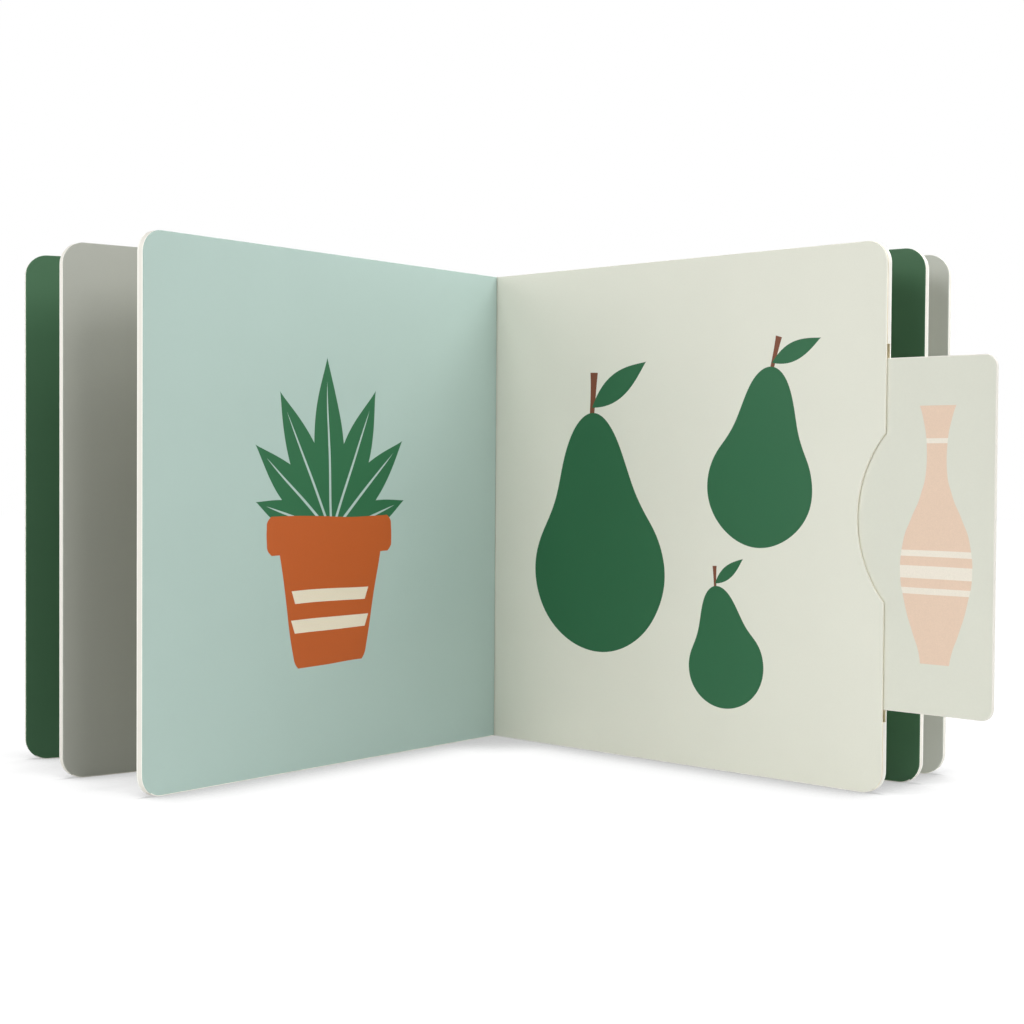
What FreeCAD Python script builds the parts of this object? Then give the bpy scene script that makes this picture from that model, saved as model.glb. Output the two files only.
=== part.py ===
import FreeCAD, Part
import math
import os

# A square board book that stands open at its middle spread, with its leaves fanned.
# Origin: foot of the middle fold, on the table. +X to the reader's right, +Y away from the reader, +Z up.
# All sizes are in millimetres and degrees.

# Leaves
PAGE_WIDTH = 176.5          # fold to fore edge
PAGE_HEIGHT = 180.0
FACE_PLY = 0.85             # printed outer ply of a leaf
CORE_PLY = 1.45             # middle ply, cut out where the card slides
CORNER_RADIUS = 7.5         # die-cut fore-edge corners
EDGE_ROUND = 0.3            # soft edge left by the die

# How far each leaf is swung towards the reader from lying flat
FRONT_COVER_ANGLE = 23.3
LEFT_OUTER_ANGLE = 37.0
LEFT_INNER_ANGLE = 51.6
RIGHT_INNER_ANGLE = 44.1
RIGHT_OUTER_ANGLE = 36.7
BACK_COVER_ANGLE = 30.6

# Folds and spine
FOLD_THICKNESS = 0.6        # folded plies that tie the leaves together behind their inner edges
SPINE_THICKNESS = 0.6
CREASE_RADIUS = 0.5         # round of the fold on which a cover turns
CREASE_CLEARANCE = 0.08
COVER_BACK_CLEARANCE = 0.1  # between a cover folded right back and the spine
COVER_BACK_ANGLE = 90.0     # a cover folded right back points straight away from the reader

# Slide card
CARD_HEIGHT = 114.0         # the part that shows
CARD_OUT = 39.0             # how far it stands out of the fore edge, fully pulled
CARD_DROP = 0.3             # it rests this much below the middle of its pocket
CARD_CORNER_RADIUS = 4.0
CARD_SIDE_CLEARANCE = 0.1   # each side, in the thickness of the pocket
SHOULDER_HEIGHT = 132.0     # the wide inner end, which can't pass the slot
SHOULDER_LENGTH = 52.0
SHOULDER_CORNER_RADIUS = 3.0

# Pocket
SLOT_CENTRE = 85.0          # height of the middle of the slot and pocket above the table
SLOT_MARGIN = 4.4           # slot above and below the card
MOUTH_DEPTH = 10.0          # glued rim of the leaf behind the fore edge
POCKET_MARGIN = 0.6         # pocket above and below the shoulders
POCKET_END_GAP = 1.3        # left behind the card when it is pushed in
STOP_GAP = 0.2              # left at the shoulders when the card is pulled out
NOTCH_RADIUS = 41.5         # thumb notch in the front ply
NOTCH_DEPTH = 10.4

LEAF_THICKNESS = 2 * FACE_PLY + CORE_PLY
LEFT = -1
RIGHT = 1


def direction(side, angle):
    """Unit vector in plan from a leaf's fold towards its fore edge."""
    a = math.radians(angle)
    return FreeCAD.Vector(side * math.cos(a), -math.sin(a), 0)


def depth(side, angle):
    """Unit vector in plan from a leaf's visible face into its thickness."""
    a = math.radians(angle)
    return FreeCAD.Vector(side * math.sin(a), math.cos(a), 0)


def next_fold(fold, side, angle):
    """The fold behind a leaf lies one leaf thickness behind the fold in front of it."""
    return fold + depth(side, angle) * LEAF_THICKNESS


MIDDLE_FOLD = FreeCAD.Vector(0, 0, 0)
LEFT_FOLD = next_fold(MIDDLE_FOLD, LEFT, LEFT_INNER_ANGLE)
FRONT_COVER_FOLD = next_fold(LEFT_FOLD, LEFT, LEFT_OUTER_ANGLE)
RIGHT_FOLD = next_fold(MIDDLE_FOLD, RIGHT, RIGHT_INNER_ANGLE)
BACK_COVER_FOLD = next_fold(RIGHT_FOLD, RIGHT, RIGHT_OUTER_ANGLE)


def place(shape, side, angle, fold):
    """Swing a shape drawn on a flat right-hand leaf to its fold, mirrored for a left-hand leaf."""
    swung = shape.copy()
    swung.rotate(FreeCAD.Vector(0, 0, 0), FreeCAD.Vector(0, 0, 1), -angle)
    if side == LEFT:
        swung = swung.mirror(FreeCAD.Vector(0, 0, 0), FreeCAD.Vector(1, 0, 0))
    swung.translate(fold)
    return swung


def slab(x0, x1, y0, y1, z0, z1):
    return Part.makeBox(x1 - x0, y1 - y0, z1 - z0, FreeCAD.Vector(x0, y0, z0))


def upright_edges_at(shape, x, tolerance=1e-4):
    """Edges across the thickness of a flat piece, at one distance from the fold."""
    found = []
    for edge in shape.Edges:
        box = edge.BoundBox
        if abs(box.XMin - x) < tolerance and abs(box.XMax - x) < tolerance and box.ZLength < tolerance:
            if box.YLength > tolerance:
                found.append(edge)
    return found


def outline_edges(shape, y0, y1, tolerance=1e-4):
    """Edges of both faces of a flat piece, apart from those at the fold."""
    found = []
    for edge in shape.Edges:
        box = edge.BoundBox
        on_face = box.YLength < tolerance and min(abs(box.YMin - y0), abs(box.YMin - y1)) < tolerance
        if on_face and box.XMax > tolerance:
            found.append(edge)
    return found


def leaf():
    """One board leaf, flat: fold on the Z axis, visible face in the XZ plane, thickness along +Y."""
    board = slab(0, PAGE_WIDTH, 0, LEAF_THICKNESS, 0, PAGE_HEIGHT)
    board = board.makeFillet(CORNER_RADIUS, upright_edges_at(board, PAGE_WIDTH))
    return board.makeFillet(EDGE_ROUND, outline_edges(board, 0, LEAF_THICKNESS))


# The card as it lies in the leaf, pulled right out
card_front = PAGE_WIDTH + CARD_OUT
shoulder_front = PAGE_WIDTH - MOUTH_DEPTH - STOP_GAP
card_end = shoulder_front - SHOULDER_LENGTH
card_face = FACE_PLY + CARD_SIDE_CLEARANCE
card_back = FACE_PLY + CORE_PLY - CARD_SIDE_CLEARANCE


def centred_slab(x0, x1, y0, y1, centre, height):
    """A slab given by the middle of its height."""
    return slab(x0, x1, y0, y1, centre - height / 2, centre + height / 2)


def slide_card():
    """A T-shaped card: wide shoulders inside the pocket, a narrower printed end that comes out."""
    centre = SLOT_CENTRE - CARD_DROP
    shoulders = centred_slab(card_end, shoulder_front, card_face, card_back, centre, SHOULDER_HEIGHT)
    ends = upright_edges_at(shoulders, card_end) + upright_edges_at(shoulders, shoulder_front)
    shoulders = shoulders.makeFillet(SHOULDER_CORNER_RADIUS, ends)
    tongue = centred_slab(card_end, card_front, card_face, card_back, centre, CARD_HEIGHT)
    tongue = tongue.makeFillet(CARD_CORNER_RADIUS, upright_edges_at(tongue, card_front))
    card = shoulders.fuse(tongue).removeSplitter()
    return card.makeFillet(EDGE_ROUND, outline_edges(card, card_face, card_back))


def pocket():
    """The room cut out of the leaf: the card's travel, its slot in the fore edge and the thumb notch."""
    end = card_end - CARD_OUT - POCKET_END_GAP
    ledge = PAGE_WIDTH - MOUTH_DEPTH
    over = CARD_OUT
    back = FACE_PLY + CORE_PLY
    travel_height = SHOULDER_HEIGHT + 2 * POCKET_MARGIN
    slot_height = CARD_HEIGHT + 2 * SLOT_MARGIN
    travel = centred_slab(end, ledge, FACE_PLY, back, SLOT_CENTRE, travel_height)
    slot = centred_slab(end, PAGE_WIDTH + over, FACE_PLY, back, SLOT_CENTRE, slot_height)
    notch_centre = FreeCAD.Vector(PAGE_WIDTH - NOTCH_DEPTH + NOTCH_RADIUS, -FACE_PLY, PAGE_HEIGHT / 2)
    notch = Part.makeCylinder(NOTCH_RADIUS, 2 * FACE_PLY + CORE_PLY / 2, notch_centre, FreeCAD.Vector(0, 1, 0))
    return travel.fuse([slot, notch])


# Leaves round the spine, from the front cover's fold to the back cover's fold
INNER_LEAVES = [
    (LEFT, LEFT_OUTER_ANGLE, LEFT_FOLD),
    (LEFT, LEFT_INNER_ANGLE, MIDDLE_FOLD),
    (RIGHT, RIGHT_INNER_ANGLE, MIDDLE_FOLD),
    (RIGHT, RIGHT_OUTER_ANGLE, RIGHT_FOLD),
]
FOLDS = [FRONT_COVER_FOLD, LEFT_FOLD, MIDDLE_FOLD, RIGHT_FOLD, BACK_COVER_FOLD]


def behind_folds(offset):
    """The line of folds moved back square to each leaf's inner edge, with mitred turns."""
    backs = [direction(side, angle) * -1 for side, angle, fold in INNER_LEAVES]
    points = [FOLDS[0] + backs[0] * offset]
    for before, after, fold in zip(backs, backs[1:], FOLDS[1:]):
        points.append(fold + (before + after) * (offset / (1 + before.dot(after))))
    points.append(FOLDS[-1] + backs[-1] * offset)
    return points


def band(near, far):
    """A strip of sheet that follows the folds, between two distances behind them."""
    outline = behind_folds(near) + behind_folds(far)[::-1]
    strip = Part.Face(Part.makePolygon(outline + outline[:1])).extrude(FreeCAD.Vector(0, 0, PAGE_HEIGHT))
    return strip.cut([cover_room(LEFT, FRONT_COVER_FOLD), cover_room(RIGHT, BACK_COVER_FOLD)])


def cover_room(side, fold):
    """What the inner end of a cover sweeps when the cover is folded right back."""
    reach = 2 * LEAF_THICKNESS
    room = slab(-reach, reach, -COVER_BACK_CLEARANCE, reach, 0, PAGE_HEIGHT)
    return place(room, side, COVER_BACK_ANGLE - 90, fold)


def crease(fold, radius):
    return Part.makeCylinder(radius, PAGE_HEIGHT, fold, FreeCAD.Vector(0, 0, 1))


def page_block():
    """Four leaves, tied behind their inner edges by the folded plies."""
    leaves = []
    for side, angle, fold in INNER_LEAVES:
        flat = leaf()
        if (side, angle) == (RIGHT, RIGHT_INNER_ANGLE):
            flat = flat.cut(pocket())
        leaves.append(place(flat, side, angle, fold))
    ties = [band(0, FOLD_THICKNESS)]
    ties += [crease(fold, CREASE_RADIUS) for fold in (FRONT_COVER_FOLD, BACK_COVER_FOLD)]
    return leaves[0].fuse(leaves[1:] + ties).removeSplitter()


def cover(side, angle, fold):
    """A cover board, hollowed along its inner edge to turn round the crease."""
    return place(leaf(), side, angle, fold).cut(crease(fold, CREASE_RADIUS + CREASE_CLEARANCE))


def export(name, shape):
    shape.exportStep("parts/" + name + ".step")


os.makedirs("parts", exist_ok=True)
export("page_block", page_block())
export("spine", band(FOLD_THICKNESS, FOLD_THICKNESS + SPINE_THICKNESS))
export("front_cover", cover(LEFT, FRONT_COVER_ANGLE, FRONT_COVER_FOLD))
export("back_cover", cover(RIGHT, BACK_COVER_ANGLE, BACK_COVER_FOLD))
export("slide_card", place(slide_card(), RIGHT, RIGHT_INNER_ANGLE, MIDDLE_FOLD))
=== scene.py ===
import math

import bpy
import numpy as np
from mathutils import Matrix, Vector


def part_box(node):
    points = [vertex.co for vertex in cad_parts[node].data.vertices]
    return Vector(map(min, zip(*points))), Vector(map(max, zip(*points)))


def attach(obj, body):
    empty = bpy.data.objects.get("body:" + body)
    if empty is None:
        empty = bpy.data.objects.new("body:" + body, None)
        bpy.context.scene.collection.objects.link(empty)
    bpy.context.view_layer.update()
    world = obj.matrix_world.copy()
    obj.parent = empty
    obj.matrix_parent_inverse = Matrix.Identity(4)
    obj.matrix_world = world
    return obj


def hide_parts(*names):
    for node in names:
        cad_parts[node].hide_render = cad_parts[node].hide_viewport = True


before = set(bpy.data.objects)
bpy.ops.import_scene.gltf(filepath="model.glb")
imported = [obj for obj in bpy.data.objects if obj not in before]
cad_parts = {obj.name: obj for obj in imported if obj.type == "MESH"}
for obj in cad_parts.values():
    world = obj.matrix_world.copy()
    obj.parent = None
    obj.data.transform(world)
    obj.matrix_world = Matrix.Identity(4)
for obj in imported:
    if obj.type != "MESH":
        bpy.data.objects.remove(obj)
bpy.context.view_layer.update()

# The camera.
# A long lens at about the height of a seated reader's chest, nearly level, a little turned on its axis.
MM = 0.001
CAMERA_RIGHT_OF_FOLD = 6.45 * MM
CAMERA_DISTANCE = 696.8 * MM
CAMERA_HEIGHT = 105.6 * MM
CAMERA_PITCH = math.radians(1.438)
CAMERA_ROLL = math.radians(0.381)
LENS_IN_PIXELS = 1775.8
IMAGE_WIDTH = 1024
SENSOR_WIDTH = 36.0

camera_data = bpy.data.cameras.new("camera")
camera_data.sensor_width = SENSOR_WIDTH
camera_data.lens = LENS_IN_PIXELS / IMAGE_WIDTH * SENSOR_WIDTH
camera_data.clip_start = 0.01
camera_data.clip_end = 20.0
camera = bpy.data.objects.new("camera", camera_data)
ahead = Vector((0, math.cos(CAMERA_PITCH), -math.sin(CAMERA_PITCH)))
rolled = Matrix.Rotation(-CAMERA_ROLL, 3, ahead)
camera_right = rolled @ Vector((1, 0, 0))
camera_up = rolled @ Vector((0, math.sin(CAMERA_PITCH), math.cos(CAMERA_PITCH)))
camera.matrix_world = Matrix.Translation((CAMERA_RIGHT_OF_FOLD, -CAMERA_DISTANCE, CAMERA_HEIGHT)) @ Matrix(
    (camera_right, camera_up, -ahead)).transposed().to_4x4()
bpy.context.scene.collection.objects.link(camera)
bpy.context.scene.camera = camera

# Board leaves.
# Each leaf is laminated from three plies of white board, printed on both outer faces and die-cut,
# which leaves a white edge with its plies in sight and a soft rounding along both faces.
PAGE_WIDTH = 176.5
PAGE_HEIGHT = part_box("page_block")[1].z / MM
FACE_PLY = 0.85
CORE_PLY = 1.45
LEAF_THICKNESS = 2 * FACE_PLY + CORE_PLY
CORNER_RADIUS = 7.5
EDGE_ROUND = 0.3
PRINT_FOOT = 1.2
ROUND_STEPS = 5
CORNER_STEPS = 24
FRONT_COVER_ANGLE = 23.3
LEFT_OUTER_ANGLE = 37.0
LEFT_INNER_ANGLE = 51.6
RIGHT_INNER_ANGLE = 44.1
RIGHT_OUTER_ANGLE = 36.7
BACK_COVER_ANGLE = 30.6
LEFT = -1
RIGHT = 1


class Place:
    """Where a leaf stands: a point w from its fold, s deep from its reading face and z up is at
    fold + w (side cos a, -sin a) + s (side sin a, cos a) + z up, for a leaf swung a towards the reader."""

    def __init__(self, side, angle, fold):
        a = math.radians(angle)
        self.side = side
        self.fold = np.array([fold[0], fold[1], 0.0])
        self.out = np.array([side * math.cos(a), -math.sin(a), 0.0])
        self.deep = np.array([side * math.sin(a), math.cos(a), 0.0])
        self.next_fold = (self.fold + LEAF_THICKNESS * self.deep)[:2]

    def points(self, w, s, z):
        up = np.array([0.0, 0.0, 1.0])
        return (self.fold + np.outer(w, self.out) + np.outer(s, self.deep) + np.outer(z, up)) * MM


def arc(centre, radius, start, end, steps=CORNER_STEPS):
    """Points (centre + radius (cos t, sin t)) for t from start to end, in degrees."""
    t = np.radians(np.linspace(start, end, steps + 1))
    return np.column_stack([centre[0] + radius * np.cos(t), centre[1] + radius * np.sin(t)])


def page_outline(fore_edge=None):
    """A page seen from its reading face, anticlockwise from the foot of the fold: square corners at the
    fold and round ones at the fore edge, where extra points cut out a slot or notch."""
    inner = CORNER_RADIUS
    right = PAGE_WIDTH - CORNER_RADIUS
    top = PAGE_HEIGHT - CORNER_RADIUS
    stretches = [[(0, 0)], arc((right, inner), CORNER_RADIUS, -90, 0)]
    if fore_edge is not None:
        stretches.append(fore_edge)
    stretches += [arc((right, top), CORNER_RADIUS, 0, 90), [(0, PAGE_HEIGHT)]]
    return np.vstack(stretches)


def rounded_profile(front, back, round_front=True, round_back=True, radius=EDGE_ROUND):
    """Edge section from the front face to the back one: (inset, depth), with quarter circles
    inset = r (1 - sin t), depth = r (1 - cos t) at each rounded face."""
    t = np.linspace(0, math.pi / 2, ROUND_STEPS + 1)
    quarter = np.column_stack([radius * (1 - np.sin(t)), radius * (1 - np.cos(t))])
    square = np.array([[0.0, 0.0]])
    near = quarter if round_front else square
    far = (quarter if round_back else square)[::-1]
    return np.vstack([near + [0, front], far * [1, -1] + [0, back]])


def link(name, mesh, materials, body):
    """Put a finished mesh in the scene and let it ride on its body."""
    for material in materials:
        mesh.materials.append(material)
    piece = bpy.data.objects.new(name, mesh)
    bpy.context.scene.collection.objects.link(piece)
    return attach(piece, body)


def board(name, outline, profile, place, materials, body, groove=0.0, lining=None, wrapped=True):
    """A flat board: the outline is carried through the thickness along the profile, each point moved
    inwards by the inset along its mitre, (n1 + n2) / (1 + n1.n2), and both faces are closed.
    A groove of that radius about the fold hollows the inner edge: w >= sqrt(r^2 - s^2).
    Materials are those of the front face, the back face and the edge. The print runs over the rounding
    if the board is wrapped, apart from its foot, where white board shows. Where lining gives a mask of
    outline points, the edge from those points to the next ones takes the fourth material."""
    outline = np.asarray(outline, float)
    count = len(outline)
    along = np.roll(outline, -1, axis=0) - outline
    along /= np.linalg.norm(along, axis=1)[:, None]
    inward = np.column_stack([-along[:, 1], along[:, 0]])
    before = np.roll(inward, 1, axis=0)
    mitre = (inward + before) / (1 + np.sum(inward * before, axis=1))[:, None]
    inset = profile[:, 0][:, None, None]
    flat = outline[None] + inset * mitre[None]
    w = flat[:, :, 0].ravel()
    z = flat[:, :, 1].ravel()
    s = np.repeat(profile[:, 1], count)
    if groove:
        w = np.maximum(w, np.sqrt(np.maximum(groove ** 2 - s ** 2, 0)))
    rows = len(profile)
    i = np.arange(count)
    j = np.roll(i, -1)
    k = np.arange(rows - 1)[:, None] * count
    rim = np.stack([k + i, k + count + i, k + count + j, k + j], axis=-1).reshape(-1, 4)
    front = i
    back = (rows - 1) * count + i[::-1]
    if place.side == LEFT:
        rim = rim[:, ::-1]
        front = front[::-1]
        back = back[::-1]
    mesh = bpy.data.meshes.new(name)
    mesh.from_pydata(place.points(w, s, z), [], [front.tolist(), back.tolist(), *rim.tolist()])
    row_kinds = np.full(rows - 1, 2)
    if wrapped:
        rounding = (profile[:-1, 0] > 0) | (profile[1:, 0] > 0)
        middle = (profile[0, 1] + profile[-1, 1]) / 2
        row_kinds[rounding & (profile[:-1, 1] < middle)] = 0
        row_kinds[rounding & (profile[:-1, 1] >= middle)] = 1
    kinds = np.tile(row_kinds[:, None], count)
    kinds[:, (outline[:, 1] + outline[j, 1]) / 2 < PRINT_FOOT] = 2
    kinds = kinds.ravel()
    if lining is not None:
        kinds[np.tile(lining, rows - 1)] = 3
    mesh.polygons.foreach_set("material_index", np.concatenate([[0, 1], kinds]))
    mesh.polygons.foreach_set("use_smooth", np.concatenate([[False, False], np.full(len(rim), True)]))
    on_leaf = mesh.attributes.new("on_leaf", "FLOAT_VECTOR", "POINT")
    on_leaf.data.foreach_set("vector", np.column_stack([w, s, z]).ravel())
    sharp = mesh.attributes.new("sharp_edge", "BOOLEAN", "EDGE")
    mesh.update()
    ends = np.zeros(len(mesh.edges) * 2, int)
    mesh.edges.foreach_get("vertices", ends)
    row_of = ends.reshape(-1, 2) // count
    column_of = ends.reshape(-1, 2) % count
    turn = np.sum(inward * before, axis=1) < 0.8
    across = (column_of[:, 0] == column_of[:, 1]) & turn[column_of[:, 0]]
    square_rows = [r for r in (0, rows - 1) if profile[r, 0] == 0]
    at_square = (row_of[:, 0] == row_of[:, 1]) & np.isin(row_of[:, 0], square_rows)
    sharp.data.foreach_set("value", across | at_square)
    return link(name, mesh, materials, body)


def colour(red, green, blue):
    """A colour given as it looks on a screen, 0 to 255, made linear."""
    c = np.array([red, green, blue]) / 255
    return (*np.where(c <= 0.04045, c / 12.92, ((c + 0.055) / 1.055) ** 2.4).tolist(), 1.0)


def add(tree, kind, values=(), **settings):
    """A new node with these settings; each input is linked to a socket or set to a value."""
    node = tree.nodes.new(kind)
    for name, value in settings.items():
        setattr(node, name, value)
    for key, value in dict(values).items():
        if isinstance(value, bpy.types.NodeSocket):
            tree.links.new(value, node.inputs[key])
        else:
            node.inputs[key].default_value = value
    return node


def calc(tree, operation, *values):
    """One step of arithmetic on numbers or sockets."""
    return add(tree, "ShaderNodeMath", enumerate(values), operation=operation).outputs[0]


def mix(tree, share, below, above):
    """Lay one colour over another, by a share from 0 to 1."""
    node = add(tree, "ShaderNodeMix", data_type="RGBA")
    for socket, value in ((node.inputs[0], share), (node.inputs[6], below), (node.inputs[7], above)):
        if isinstance(value, bpy.types.NodeSocket):
            tree.links.new(value, socket)
        else:
            socket.default_value = value
    return node.outputs[2]


def group(name, inputs, outputs):
    """An empty shader node group with these sockets, and its two end nodes."""
    tree = bpy.data.node_groups.new(name, "ShaderNodeTree")
    kinds = {"v": "NodeSocketVector", "c": "NodeSocketColor", "f": "NodeSocketFloat"}
    for socket, kind in inputs:
        tree.interface.new_socket(name=socket, in_out="INPUT", socket_type=kinds[kind])
    for socket, kind in outputs:
        tree.interface.new_socket(name=socket, in_out="OUTPUT", socket_type=kinds[kind])
    return tree, tree.nodes.new("NodeGroupInput").outputs, tree.nodes.new("NodeGroupOutput").inputs


def coated_paper():
    """Matt-coated printed paper: faint clouds in the colour, a fine tooth, and a little change of gloss."""
    tree, given, result = group("coated_paper", [("Place", "v"), ("Colour", "c"), ("Cloud", "f"), ("Tooth", "f")],
                                [("Colour", "c"), ("Roughness", "f"), ("Height", "f")])
    cloud = add(tree, "ShaderNodeTexNoise", {"Vector": given["Place"], "Scale": 0.035, "Detail": 3.0})
    tooth = add(tree, "ShaderNodeTexNoise", {"Vector": given["Place"], "Scale": 1.6, "Detail": 4.0,
                                             "Roughness": 0.65})
    cloudy = calc(tree, "MULTIPLY", calc(tree, "SUBTRACT", cloud.outputs[0], 0.5), given["Cloud"])
    toothed = calc(tree, "MULTIPLY", calc(tree, "SUBTRACT", tooth.outputs[0], 0.5), given["Tooth"])
    bright = calc(tree, "ADD", calc(tree, "ADD", cloudy, toothed), 1.0)
    scaled = add(tree, "ShaderNodeVectorMath", {0: given["Colour"], "Scale": bright}, operation="SCALE")
    tree.links.new(scaled.outputs[0], result["Colour"])
    rough = calc(tree, "MULTIPLY_ADD", cloud.outputs[0], 0.12, 0.5)
    tree.links.new(rough, result["Roughness"])
    tree.links.new(tooth.outputs[0], result["Height"])
    return tree


COATED_PAPER = coated_paper()


def new_material(name):
    material = bpy.data.materials.new(name)
    material.use_nodes = True
    material.node_tree.nodes.clear()
    return material, material.node_tree


def finish_material(tree, surface, bump=0.02, distance=0.05, **fixed):
    """The shader itself: colour, roughness and height come from the surface, the rest is set here."""
    lift = add(tree, "ShaderNodeBump", {"Height": surface["Height"], "Strength": bump, "Distance": distance * MM})
    shader = add(tree, "ShaderNodeBsdfPrincipled", {"Base Color": surface["Colour"],
                                                    "Roughness": surface["Roughness"],
                                                    "Normal": lift.outputs[0], **fixed})
    end = add(tree, "ShaderNodeOutputMaterial")
    tree.links.new(shader.outputs[0], end.inputs[0])


def on_leaf(tree):
    """Where a point lies on its leaf, in millimetres: from the fold, into the thickness, up."""
    return add(tree, "ShaderNodeAttribute", attribute_name="on_leaf").outputs["Vector"]


def printed(name, ground, picture=None):
    """A printed face: a plain ground colour and, if there is a picture, its inks laid over it in turn."""
    material, tree = new_material(name)
    place = on_leaf(tree)
    inked = ground
    if picture is not None:
        inked = picture(tree, place, ground)
    paper = add(tree, "ShaderNodeGroup", node_tree=COATED_PAPER)
    tree.links.new(place, paper.inputs["Place"])
    if isinstance(inked, bpy.types.NodeSocket):
        tree.links.new(inked, paper.inputs["Colour"])
    else:
        paper.inputs["Colour"].default_value = inked
    paper.inputs["Cloud"].default_value = 0.05
    paper.inputs["Tooth"].default_value = 0.05
    finish_material(tree, paper.outputs, **{"Specular IOR Level": 0.35})
    return material


def cut_board():
    """The die-cut edge of three plies: two whiter faces and a greyer core, with a thin line of glue
    between them and fibres drawn out along the cut."""
    material, tree = new_material("cut_board")
    place = on_leaf(tree)
    depth = add(tree, "ShaderNodeSeparateXYZ", {0: place}).outputs[1]
    fibres = add(tree, "ShaderNodeMapping", {"Vector": place, "Scale": (0.5, 9.0, 0.5)})
    streaks = add(tree, "ShaderNodeTexNoise", {"Vector": fibres.outputs[0], "Scale": 1.0, "Detail": 3.0})
    ramp = add(tree, "ShaderNodeValToRGB")
    share = add(tree, "ShaderNodeMapRange", {"Value": depth, "From Max": LEAF_THICKNESS})
    tree.links.new(share.outputs[0], ramp.inputs[0])
    front = FACE_PLY / LEAF_THICKNESS
    back = 1 - front
    line = 0.02
    stops = [(0.0, PLY_FRONT), (front - line, PLY_FRONT), (front, GLUE_LINE), (front + line, PLY_CORE),
             (back - line, PLY_CORE), (back, GLUE_LINE), (back + line, PLY_BACK), (1.0, PLY_BACK)]
    while len(ramp.color_ramp.elements) < len(stops):
        ramp.color_ramp.elements.new(0.5)
    for element, (position, shade) in zip(ramp.color_ramp.elements, stops):
        element.position = position
        element.color = shade
    bright = calc(tree, "MULTIPLY_ADD", streaks.outputs[0], 0.10, 0.95)
    scaled = add(tree, "ShaderNodeVectorMath", {0: ramp.outputs[0], "Scale": bright}, operation="SCALE")
    rough = calc(tree, "MULTIPLY_ADD", streaks.outputs[0], 0.1, 0.75)
    finish_material(tree, {"Colour": scaled.outputs[0], "Roughness": rough, "Height": streaks.outputs[0]},
                    bump=0.25, distance=0.04)
    return material


PLY_FRONT = colour(244, 242, 233)
PLY_CORE = colour(230, 227, 218)
PLY_BACK = colour(245, 244, 237)
GLUE_LINE = colour(208, 204, 193)
EDGE = cut_board()

GREEN_GROUND = colour(59, 99, 68)
GREY_GROUND = colour(170, 172, 163)
# Painted light: the back cover's inside has the same grey print as the left outer leaf, but this copy is lighter to
# make up for the shade it stands in behind the other leaves.
GREY_GROUND_WITH_PAINTED_LIGHT = colour(190, 193, 184)
TEAL_GROUND = colour(167, 188, 181)
CREAM_GROUND = colour(227, 227, 214)

middle_left = Place(LEFT, LEFT_INNER_ANGLE, (0.0, 0.0))
outer_left = Place(LEFT, LEFT_OUTER_ANGLE, middle_left.next_fold)
front = Place(LEFT, FRONT_COVER_ANGLE, outer_left.next_fold)
middle_right = Place(RIGHT, RIGHT_INNER_ANGLE, (0.0, 0.0))
outer_right = Place(RIGHT, RIGHT_OUTER_ANGLE, middle_right.next_fold)
rear = Place(RIGHT, BACK_COVER_ANGLE, outer_right.next_fold)

CREAM_PAGE = printed("cream_page", CREAM_GROUND)
GREY_PAGE = printed("grey_page", GREY_GROUND)
# The back cover's inside page: the grey print with painted light on it.
GREY_PAGE_WITH_PAINTED_LIGHT = printed("grey_page_with_painted_light", GREY_GROUND_WITH_PAINTED_LIGHT)
GREEN_PAGE = printed("green_page", GREEN_GROUND)
whole_leaf = rounded_profile(0.0, LEAF_THICKNESS)

left_outer = board("left_outer_leaf", page_outline(), whole_leaf, outer_left,
                   [GREY_PAGE, CREAM_PAGE, EDGE], "pages")
right_outer = board("right_outer_leaf", page_outline(), whole_leaf, outer_right,
                    [GREEN_PAGE, CREAM_PAGE, EDGE], "pages")

# The left picture page.
# A leaf like the others, printed in flat inks with a pot plant: green leaves over a clay-coloured pot.
LEAF_GREEN = colour(34, 96, 60)
CLAY = colour(178, 84, 28)
CREAM_INK = colour(222, 212, 190)


def ink():
    """One flat ink with the fine light specks that show where the roller missed the paper."""
    tree, given, result = group("flat_ink", [("Place", "v"), ("Below", "c"), ("Ink", "c"), ("Mask", "f")],
                                [("Colour", "c")])
    specks = add(tree, "ShaderNodeTexNoise", {"Vector": given["Place"], "Scale": 2.4, "Detail": 5.0,
                                              "Roughness": 0.7})
    bright = calc(tree, "MULTIPLY_ADD", specks.outputs[0], 0.22, 0.89)
    shade = add(tree, "ShaderNodeVectorMath", {0: given["Ink"], "Scale": bright}, operation="SCALE")
    tree.links.new(mix(tree, given["Mask"], given["Below"], shade.outputs[0]), result["Colour"])
    return tree


FLAT_INK = ink()


def lay_ink(tree, place, below, shade, mask):
    node = add(tree, "ShaderNodeGroup", node_tree=FLAT_INK)
    for name, value in (("Place", place), ("Below", below), ("Ink", shade), ("Mask", mask)):
        if isinstance(value, bpy.types.NodeSocket):
            tree.links.new(value, node.inputs[name])
        else:
            node.inputs[name].default_value = value
    return node.outputs[0]


def hand_cut(tree, place, wander=0.9):
    """The place on the page, moved by up to about a millimetre, so that outlines aren't ruled."""
    slow = add(tree, "ShaderNodeTexNoise", {"Vector": place, "Scale": 0.035, "Detail": 0.0})
    shift = add(tree, "ShaderNodeVectorMath", {0: slow.outputs["Color"], 1: (0.5, 0.5, 0.5)},
                operation="SUBTRACT")
    scaled = add(tree, "ShaderNodeVectorMath", {0: shift.outputs[0], "Scale": 2 * wander}, operation="SCALE")
    return add(tree, "ShaderNodeVectorMath", {0: place, 1: scaled.outputs[0]}, operation="ADD").outputs[0]


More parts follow.
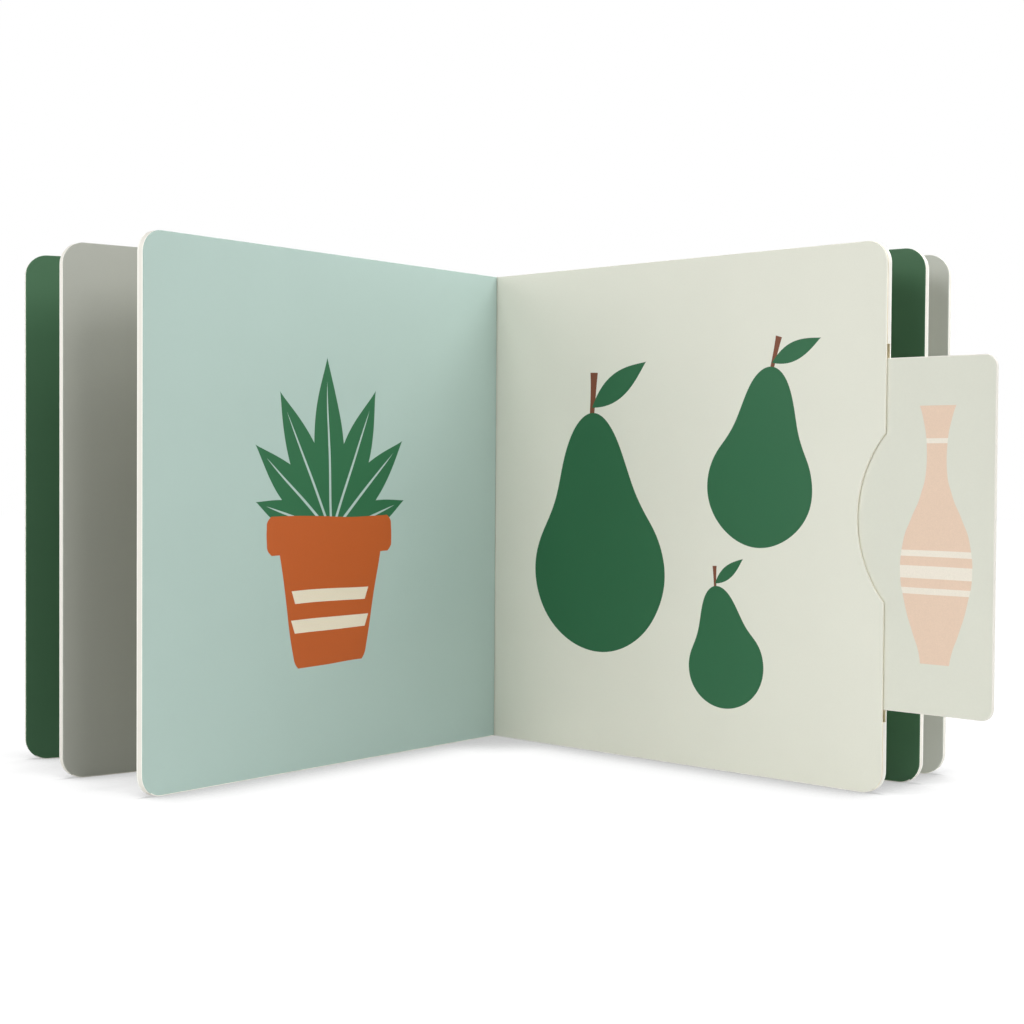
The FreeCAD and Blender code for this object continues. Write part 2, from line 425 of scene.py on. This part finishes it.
def standing(tree, place, foot, height, half_width, lean=0.0):
    """Coordinates of an upright figure: x from -1 to 1 across it and y from 0 to 1 up it, leaning by
    some degrees about its foot."""
    local = add(tree, "ShaderNodeMapping", {"Vector": place, "Location": (foot[0], 0.0, foot[1]),
                                            "Rotation": (0.0, math.radians(lean), 0.0),
                                            "Scale": (half_width, 1.0, height)}, vector_type="TEXTURE")
    parts = add(tree, "ShaderNodeSeparateXYZ", {0: local.outputs[0]})
    return parts.outputs[0], parts.outputs[2]


def figure(tree, place, foot, height, half_width, widths, lean=0.0):
    """Mask of a figure whose two sides mirror each other: |x| < f(y) for y from 0 to 1, where f is a
    smooth curve through the given (y, f) points."""
    x, y = standing(tree, place, foot, height, half_width, lean)
    curve = add(tree, "ShaderNodeFloatCurve", {"Value": y})
    line = curve.mapping.curves[0]
    line.points[0].location = widths[0]
    line.points[-1].location = widths[-1]
    for point in widths[1:-1]:
        line.points.new(*point)
    curve.mapping.update()
    inside = calc(tree, "LESS_THAN", calc(tree, "ABSOLUTE", x), curve.outputs[0])
    above_foot = calc(tree, "GREATER_THAN", y, 0.0)
    below_top = calc(tree, "LESS_THAN", y, 1.0)
    return calc(tree, "MULTIPLY", inside, calc(tree, "MULTIPLY", above_foot, below_top))


def blade(tree, place, foot, height, half_width, lean):
    """Mask of a pointed leaf, |x| < 2.78 y (1 - y)^1.2, widest a little below its middle."""
    x, y = standing(tree, place, foot, height, half_width, lean)
    short_of_tip = calc(tree, "MAXIMUM", calc(tree, "SUBTRACT", 1.0, y), 0.0)
    width = calc(tree, "MULTIPLY", calc(tree, "MULTIPLY", y, 2.78), calc(tree, "POWER", short_of_tip, 1.2))
    return calc(tree, "LESS_THAN", calc(tree, "ABSOLUTE", x), width)


def ellipse(tree, x, y, centre, half_width, half_height):
    """(x / a)^2 + ((y - c) / b)^2, which is 1 on an ellipse about the upright axis."""
    across = calc(tree, "DIVIDE", x, half_width)
    up = calc(tree, "DIVIDE", calc(tree, "SUBTRACT", y, centre), half_height)
    return calc(tree, "ADD", calc(tree, "MULTIPLY", across, across), calc(tree, "MULTIPLY", up, up))


def either(tree, masks):
    """Union of masks."""
    total = masks[0]
    for mask in masks[1:]:
        total = calc(tree, "MAXIMUM", total, mask)
    return total


PLANT_W = 92.0
POT_FOOT = 36.0
POT_HEIGHT = 42.0
POT_HALF = 27.0
RIM_HEIGHT = 13.0
RIM_HALF = 31.0
PLANT_LEAVES = [(-74, 40, 9), (-48, 50, 11), (-24, 56, 12), (2, 62, 12), (27, 55, 12), (50, 48, 11), (73, 38, 9)]
POT_SHAPE = [(0.0, 0.60), (0.05, 0.66), (0.12, 0.69), (0.5, 0.80), (1.0, 0.95)]
RIM_SHAPE = [(0.0, 0.93), (0.14, 0.99), (0.3, 1.0), (0.7, 1.0), (0.86, 0.99), (1.0, 0.93)]
RIB_SHAPE = [(0.0, 1.0), (0.6, 0.8), (1.0, 0.0)]
STRIPE_SHAPE = [(0.0, 0.88), (1.0, 0.97)]


def pot_plant(tree, place, ground):
    hand = hand_cut(tree, place)
    top = POT_FOOT + POT_HEIGHT
    leaves = [blade(tree, hand, (PLANT_W, top + 4), length, half, lean) for lean, length, half in PLANT_LEAVES]
    ribs = [figure(tree, hand, (PLANT_W, top + 4), length * 0.86, 0.55, RIB_SHAPE, lean)
            for lean, length, half in PLANT_LEAVES]
    pot = figure(tree, hand, (PLANT_W, POT_FOOT), POT_HEIGHT, POT_HALF, POT_SHAPE)
    rim = figure(tree, hand, (PLANT_W, top - 3), RIM_HEIGHT, RIM_HALF, RIM_SHAPE)
    stripes = [figure(tree, hand, (PLANT_W, POT_FOOT + up), 4.5, 20.0, STRIPE_SHAPE)
               for up in (12.0, 22.0)]
    inked = lay_ink(tree, place, ground, LEAF_GREEN, either(tree, leaves))
    inked = lay_ink(tree, place, inked, ground, either(tree, ribs))
    inked = lay_ink(tree, place, inked, CLAY, either(tree, [pot, rim]))
    return lay_ink(tree, place, inked, CREAM_INK, either(tree, stripes))


LEFT_PICTURE = printed("left_picture_page", TEAL_GROUND, pot_plant)
left_middle = board("left_picture_leaf", page_outline(), whole_leaf, middle_left,
                    [LEFT_PICTURE, CREAM_PAGE, EDGE], "pages")

# The right picture page and its pocket.
# Three plies glued together: the front one has a thumb notch, the middle one is cut out for the card,
# and the back one is whole. Bare tan board shows inside the pocket.
CARD_OUT = 39.0
CARD_HEIGHT = 114.0
SLOT_CENTRE = 85.0
CARD_DROP = 0.3
CARD_SIDE_CLEARANCE = 0.1
CARD_CORNER_RADIUS = 4.0
SHOULDER_HEIGHT = 132.0
SHOULDER_LENGTH = 52.0
SHOULDER_CORNER_RADIUS = 3.0
SLOT_MARGIN = 4.4
MOUTH_DEPTH = 10.0
POCKET_MARGIN = 0.6
POCKET_END_GAP = 1.3
STOP_GAP = 0.2
NOTCH_RADIUS = 41.5
NOTCH_DEPTH = 10.4
TAN = colour(232, 222, 190)
BROWN_INK = colour(118, 66, 42)

PEARS = [(56.0, 36.0, 92.0, 33.0, -4.0), (124.0, 78.0, 64.0, 23.0, 7.0), (116.0, 22.0, 44.0, 17.0, -10.0)]
STEM_SHAPE = [(0.0, 0.6), (0.6, 0.75), (1.0, 1.0)]


def pear(tree, place, foot, height, half_width, lean):
    """Mask of a pear: smooth minimum of a belly's and a neck's ellipse, below 1."""
    x, y = standing(tree, place, foot, height, half_width, lean)
    belly = ellipse(tree, x, y, 0.34, 0.96, 0.33)
    neck = ellipse(tree, x, y, 0.63, 0.50, 0.35)
    return calc(tree, "LESS_THAN", calc(tree, "SMOOTH_MIN", belly, neck, 2.0), 1.0)


def pears(tree, place, ground):
    hand = hand_cut(tree, place)
    bodies = []
    stems = []
    leaves = []
    for w, z, height, half, lean in PEARS:
        a = math.radians(lean)
        tip = (w + math.sin(a) * height * 0.97, z + math.cos(a) * height * 0.97)
        bodies.append(pear(tree, hand, (w, z), height, half, lean))
        stems.append(figure(tree, hand, tip, height * 0.17, height * 0.02, STEM_SHAPE, lean + 8))
        leaf_foot = (tip[0], tip[1] + height * 0.03)
        leaves.append(blade(tree, hand, leaf_foot, height * 0.34, height * 0.08, lean + 62))
    inked = lay_ink(tree, place, ground, BROWN_INK, either(tree, stems))
    return lay_ink(tree, place, inked, LEAF_GREEN, either(tree, bodies + leaves))


def bare_board():
    """Uncoated tan board, a little hairy, as the inside of the pocket shows it."""
    material, tree = new_material("bare_board")
    place = on_leaf(tree)
    paper = add(tree, "ShaderNodeGroup", node_tree=COATED_PAPER)
    tree.links.new(place, paper.inputs["Place"])
    paper.inputs["Colour"].default_value = TAN
    paper.inputs["Cloud"].default_value = 0.15
    paper.inputs["Tooth"].default_value = 0.25
    finish_material(tree, paper.outputs, bump=0.2)
    return material


RIGHT_PICTURE = printed("right_picture_page", CREAM_GROUND, pears)
BARE = bare_board()
card_front = PAGE_WIDTH + CARD_OUT
shoulder_front = PAGE_WIDTH - MOUTH_DEPTH - STOP_GAP
card_end = shoulder_front - SHOULDER_LENGTH
pocket_end = card_end - CARD_OUT - POCKET_END_GAP
ledge = PAGE_WIDTH - MOUTH_DEPTH
slot_half = CARD_HEIGHT / 2 + SLOT_MARGIN
pocket_half = SHOULDER_HEIGHT / 2 + POCKET_MARGIN
core_back = FACE_PLY + CORE_PLY

notch_centre = (PAGE_WIDTH - NOTCH_DEPTH + NOTCH_RADIUS, PAGE_HEIGHT / 2)
notch_reach = math.degrees(math.acos((NOTCH_RADIUS - NOTCH_DEPTH) / NOTCH_RADIUS))
notch = arc(notch_centre, NOTCH_RADIUS, 180 + notch_reach, 180 - notch_reach, 2 * CORNER_STEPS)
front_ply = board("right_picture_leaf_front_ply", page_outline(notch),
                  rounded_profile(0.0, FACE_PLY), middle_right,
                  [RIGHT_PICTURE, BARE, EDGE], "pages")
low, high = SLOT_CENTRE - slot_half, SLOT_CENTRE + slot_half
deep_low, deep_high = SLOT_CENTRE - pocket_half, SLOT_CENTRE + pocket_half
pocket_cut = [(PAGE_WIDTH, low), (ledge, low), (ledge, deep_low), (pocket_end, deep_low),
              (pocket_end, deep_high), (ledge, deep_high), (ledge, high), (PAGE_WIDTH, high)]
core_outline = page_outline(pocket_cut)
first_cut = len(page_outline()) // 2
cut_in_core = np.zeros(len(core_outline), bool)
cut_in_core[first_cut:first_cut + len(pocket_cut) - 1] = True
core_ply = board("right_picture_leaf_core_ply", core_outline,
                 rounded_profile(FACE_PLY, core_back, round_front=False, round_back=False), middle_right,
                 [BARE, BARE, EDGE, BARE], "pages", lining=cut_in_core)
back_ply = board("right_picture_leaf_back_ply", page_outline(),
                 rounded_profile(core_back, LEAF_THICKNESS, round_front=False), middle_right,
                 [BARE, CREAM_PAGE, EDGE], "pages")

# The folded plies.
# Behind the leaves' inner edges the folded sheets lie together in one band, which ties the leaves.
# At its two ends it rounds into the creases on which the covers turn.
FOLD_THICKNESS = 0.6
SPINE_THICKNESS = 0.6
CREASE_RADIUS = 0.5
CREASE_CLEARANCE = 0.08
COVER_BACK_CLEARANCE = 0.1
INNER_PLACES = [outer_left, middle_left, middle_right, outer_right]
FOLDS = np.array([front.fold[:2], outer_left.fold[:2], (0.0, 0.0), outer_right.fold[:2], rear.fold[:2]])


def behind_folds(offset):
    """The line of folds moved back square to each leaf's inner edge, with mitred turns, and ended level
    with the cover's fold so that the cover can be folded right back."""
    backs = np.array([-place.out[:2] for place in INNER_PLACES])
    mitres = (backs[:-1] + backs[1:]) / (1 + np.sum(backs[:-1] * backs[1:], axis=1))[:, None]
    line = np.vstack([FOLDS[0] + offset * backs[0], FOLDS[1:-1] + offset * mitres, FOLDS[-1] + offset * backs[-1]])
    for end, beside in ((0, 1), (-1, -2)):
        level = FOLDS[end, 1] - COVER_BACK_CLEARANCE
        share = (level - line[beside, 1]) / (line[end, 1] - line[beside, 1])
        line[end] = line[beside] + share * (line[end] - line[beside])
    return line


def band(name, near, far, materials, body):
    """A strip of sheet that follows the folds between two distances behind them, as high as a page."""
    section = np.vstack([behind_folds(near), behind_folds(far)[::-1]])
    count = len(section)
    heights = np.array([0.0, PAGE_HEIGHT])
    x = np.tile(section[:, 0], 2)
    y = np.tile(section[:, 1], 2)
    z = np.repeat(heights, count)
    i = np.arange(count)
    j = np.roll(i, -1)
    sides = np.stack([i, i + count, j + count, j], axis=-1)
    mesh = bpy.data.meshes.new(name)
    mesh.from_pydata(np.column_stack([x, y, z]) * MM, [], [i.tolist(), (i[::-1] + count).tolist(), *sides.tolist()])
    place = mesh.attributes.new("on_leaf", "FLOAT_VECTOR", "POINT")
    place.data.foreach_set("vector", np.column_stack([x, np.zeros_like(x) + near, z]).ravel())
    mesh.update()
    return link(name, mesh, materials, body)


def crease(name, fold, radius, materials, body, steps=24):
    """A round fold: a cylinder of that radius about the cover's fold, closed at both ends."""
    t = np.linspace(0, 2 * math.pi, steps, endpoint=False)
    x = np.tile(fold[0] + radius * np.cos(t), 2)
    y = np.tile(fold[1] + radius * np.sin(t), 2)
    z = np.repeat([0.0, PAGE_HEIGHT], steps)
    i = np.arange(steps)
    j = np.roll(i, -1)
    sides = np.stack([i, j, j + steps, i + steps], axis=-1)
    mesh = bpy.data.meshes.new(name)
    mesh.from_pydata(np.column_stack([x, y, z]) * MM, [], [i[::-1].tolist(), (i + steps).tolist(), *sides.tolist()])
    place = mesh.attributes.new("on_leaf", "FLOAT_VECTOR", "POINT")
    place.data.foreach_set("vector", np.column_stack([x, y, z]).ravel())
    mesh.polygons.foreach_set("use_smooth", np.arange(len(mesh.polygons)) > 1)
    mesh.update()
    return link(name, mesh, materials, body)


COVER_GROUND = colour(150, 178, 170)
COVER_PAPER = printed("cover_paper", COVER_GROUND)
folds = band("folded_plies", 0.0, FOLD_THICKNESS, [CREAM_PAGE], "pages")
front_crease = crease("front_cover_crease", front.fold, CREASE_RADIUS, [COVER_PAPER], "pages")
back_crease = crease("back_cover_crease", rear.fold, CREASE_RADIUS, [COVER_PAPER], "pages")
for piece in (left_outer, right_outer, left_middle, front_ply, core_ply, back_ply, folds, front_crease, back_crease):
    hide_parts("page_block")

# The spine.
# A strip of cover paper over board, glued round the folded backs of the leaves.
spine = band("spine_strip", FOLD_THICKNESS, FOLD_THICKNESS + SPINE_THICKNESS, [COVER_PAPER], "pages")
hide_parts("spine")

# The covers.
# Two more three-ply boards, flush with the pages. The cover paper wraps their outer faces and inner
# edges, and a groove along the inner edge lets each cover turn round its crease.
GROOVE_STEPS = 6


def cover(name, place, inside):
    """A cover board, with extra points across its inner edge where the groove lies."""
    groove = CREASE_RADIUS + CREASE_CLEARANCE
    profile = rounded_profile(0.0, LEAF_THICKNESS)
    hollow = np.linspace(EDGE_ROUND, groove, GROOVE_STEPS + 1)[1:]
    extra = np.column_stack([np.zeros(GROOVE_STEPS), hollow])
    profile = np.vstack([profile[:ROUND_STEPS + 1], extra, profile[ROUND_STEPS + 1:]])
    outline = page_outline()
    inner_edge = np.arange(len(outline)) == len(outline) - 1
    return board(name, outline, profile, place, [inside, COVER_PAPER, EDGE, COVER_PAPER], name,
                 groove=groove, lining=inner_edge)


for name, place, inside in (("front_cover", front, GREEN_PAGE), ("back_cover", rear, GREY_PAGE_WITH_PAINTED_LIGHT)):
    piece = cover(name, place, inside)
    piece.name = name + "_board"
    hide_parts(name)

# The slide card.
# One stiff card: shoulders inside the pocket that can't pass the slot, and a narrower end that comes
# out, printed with a tall two-tone vase.
PEACH = colour(230, 203, 181)
PALE_INK = colour(238, 230, 216)
CARD_GROUND = colour(219, 220, 207)
VASE = (195.0, 44.0, 82.0, 13.0)
VASE_SHAPE = [(0.0, 0.40), (0.04, 0.45), (0.12, 0.64), (0.24, 0.88), (0.36, 1.0), (0.46, 0.93), (0.56, 0.70),
              (0.66, 0.42), (0.76, 0.28), (0.86, 0.29), (0.94, 0.38), (1.0, 0.50)]


def vase(tree, place, ground):
    w, z, height, half = VASE
    hand = hand_cut(tree, place, 0.3)
    body = figure(tree, hand, (w, z), height, half, VASE_SHAPE)
    bands = [figure(tree, hand, (w, z + up), thick, half, [(0.0, 1.0), (1.0, 1.0)])
             for up, thick in ((22.0, 2.0), (27.0, 4.0), (34.0, 2.0), (70.0, 1.6))]
    inked = lay_ink(tree, place, ground, PEACH, body)
    return lay_ink(tree, place, inked, PALE_INK, calc(tree, "MULTIPLY", body, either(tree, bands)))


def card_outline():
    """T shape, anticlockwise from the inner foot, with rounded corners."""
    half = CARD_HEIGHT / 2
    wide = SHOULDER_HEIGHT / 2
    corner = CARD_CORNER_RADIUS
    small = SHOULDER_CORNER_RADIUS
    centre = SLOT_CENTRE - CARD_DROP
    lower, upper = centre - wide, centre + wide
    bottom, top = centre - half, centre + half
    return np.vstack([
        arc((card_end + small, lower + small), small, 180, 270, 8),
        arc((shoulder_front - small, lower + small), small, -90, 0, 8),
        [(shoulder_front, bottom)],
        arc((card_front - corner, bottom + corner), corner, -90, 0, 12),
        arc((card_front - corner, top - corner), corner, 0, 90, 12),
        [(shoulder_front, top)],
        arc((shoulder_front - small, upper - small), small, 0, 90, 8),
        arc((card_end + small, upper - small), small, 90, 180, 8)])


CARD_FACE = printed("card_picture", CARD_GROUND, vase)
CARD_BACK = printed("card_back", CARD_GROUND)
card_profile = rounded_profile(FACE_PLY + CARD_SIDE_CLEARANCE, core_back - CARD_SIDE_CLEARANCE)
card = board("slide_card_board", card_outline(), card_profile, middle_right,
             [CARD_FACE, CARD_BACK, EDGE], "card", wrapped=False)
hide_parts("slide_card")

# The table.
# A wide white sheet. It looks pure white, apart from a narrow grey painted shadow where the leaves stand on it:
# its whiteness for the camera fades close to whatever stands there, and little of the lamps' light shows.
FLOOR_SIZE = 6.0
FLOOR_WHITE = 0.92
FLOOR_SEEN = 0.10
CONTACT = 38.0 * MM
PAINTED_CONTACT_SHADOW = 0.52
HALF_OPEN = 0.5
SHADE_FALLOFF = 2.0
floor_mesh = bpy.data.meshes.new("floor")
corner = FLOOR_SIZE / 2
floor_mesh.from_pydata([(-corner, -corner, 0), (corner, -corner, 0), (corner, corner, 0), (-corner, corner, 0)],
                       [], [(0, 1, 2, 3)])
floor = bpy.data.objects.new("floor", floor_mesh)
bpy.context.scene.collection.objects.link(floor)


def seen_directly(tree):
    """1 for rays from the camera, also by way of a shine or through something clear, and 0 for the rest."""
    path = add(tree, "ShaderNodeLightPath").outputs
    mirrored = calc(tree, "MAXIMUM", path["Is Glossy Ray"], path["Is Transmission Ray"])
    return calc(tree, "MAXIMUM", path["Is Camera Ray"], mirrored)


floor_material, tree = new_material("white_table")
seen = seen_directly(tree)
white = add(tree, "ShaderNodeMapRange", {"Value": seen, "To Min": FLOOR_WHITE, "To Max": FLOOR_SEEN})
diffuse = add(tree, "ShaderNodeBsdfDiffuse", {"Color": white.outputs[0]})
# The painted shadow: the white glow that the camera sees is dimmed where leaves stand close by.
open_above = add(tree, "ShaderNodeAmbientOcclusion", {"Distance": CONTACT}, samples=4).outputs["AO"]
walled_in = add(tree, "ShaderNodeMapRange", {"Value": open_above, "From Min": HALF_OPEN,
                                             "To Min": 1.0, "To Max": 0.0})
shade = calc(tree, "MULTIPLY", calc(tree, "POWER", walled_in.outputs[0], SHADE_FALLOFF), PAINTED_CONTACT_SHADOW)
whiteness = calc(tree, "MULTIPLY", seen, calc(tree, "SUBTRACT", 1.0, shade))
glow = add(tree, "ShaderNodeEmission", {"Strength": whiteness})
both = add(tree, "ShaderNodeAddShader", {0: diffuse.outputs[0], 1: glow.outputs[0]})
add(tree, "ShaderNodeOutputMaterial", {0: both.outputs[0]})
floor_mesh.materials.append(floor_material)

# The light.
# A small white tent: one soft lamp above the book and one near it on its left, four further off round
# its front and right, and a little light from the walls.
SURROUND = 0.05
BOOK_MIDDLE = Vector((0.0, -0.04, 0.09))
world = bpy.data.worlds.new("studio")
bpy.context.scene.world = world
world.use_nodes = True
tree = world.node_tree
tree.nodes.clear()
strength = add(tree, "ShaderNodeMapRange", {"Value": seen_directly(tree), "To Min": SURROUND, "To Max": 1.0})
background = add(tree, "ShaderNodeBackground", {"Color": (1.0, 1.0, 1.0, 1.0), "Strength": strength.outputs[0]})
add(tree, "ShaderNodeOutputWorld", {0: background.outputs[0]})


def soft_lamp(name, place, size, power):
    """A round soft lamp that faces the middle of the book."""
    data = bpy.data.lights.new(name, "AREA")
    data.shape = "DISK"
    data.size = size
    data.energy = power
    lamp = bpy.data.objects.new(name, data)
    lamp.location = place
    lamp.rotation_mode = "QUATERNION"
    lamp.rotation_quaternion = (BOOK_MIDDLE - Vector(place)).to_track_quat("-Z", "Y")
    bpy.context.scene.collection.objects.link(lamp)


soft_lamp("ceiling_lamp", (0.30, -0.05, 0.50), 0.35, 1.73)
soft_lamp("left_lamp", (-0.78, -0.35, 0.32), 0.50, 2.23)
soft_lamp("far_front_left_lamp", (-1.48, -1.76, 1.31), 1.0, 22.8)
soft_lamp("far_front_right_lamp", (1.48, -1.76, 1.31), 1.0, 21.7)
soft_lamp("far_right_lamp", (2.54, -0.45, 0.52), 1.0, 8.5)
soft_lamp("high_front_lamp", (0.80, -1.39, 2.14), 1.0, 5.3)

bpy.context.scene.view_settings.view_transform = "Standard"
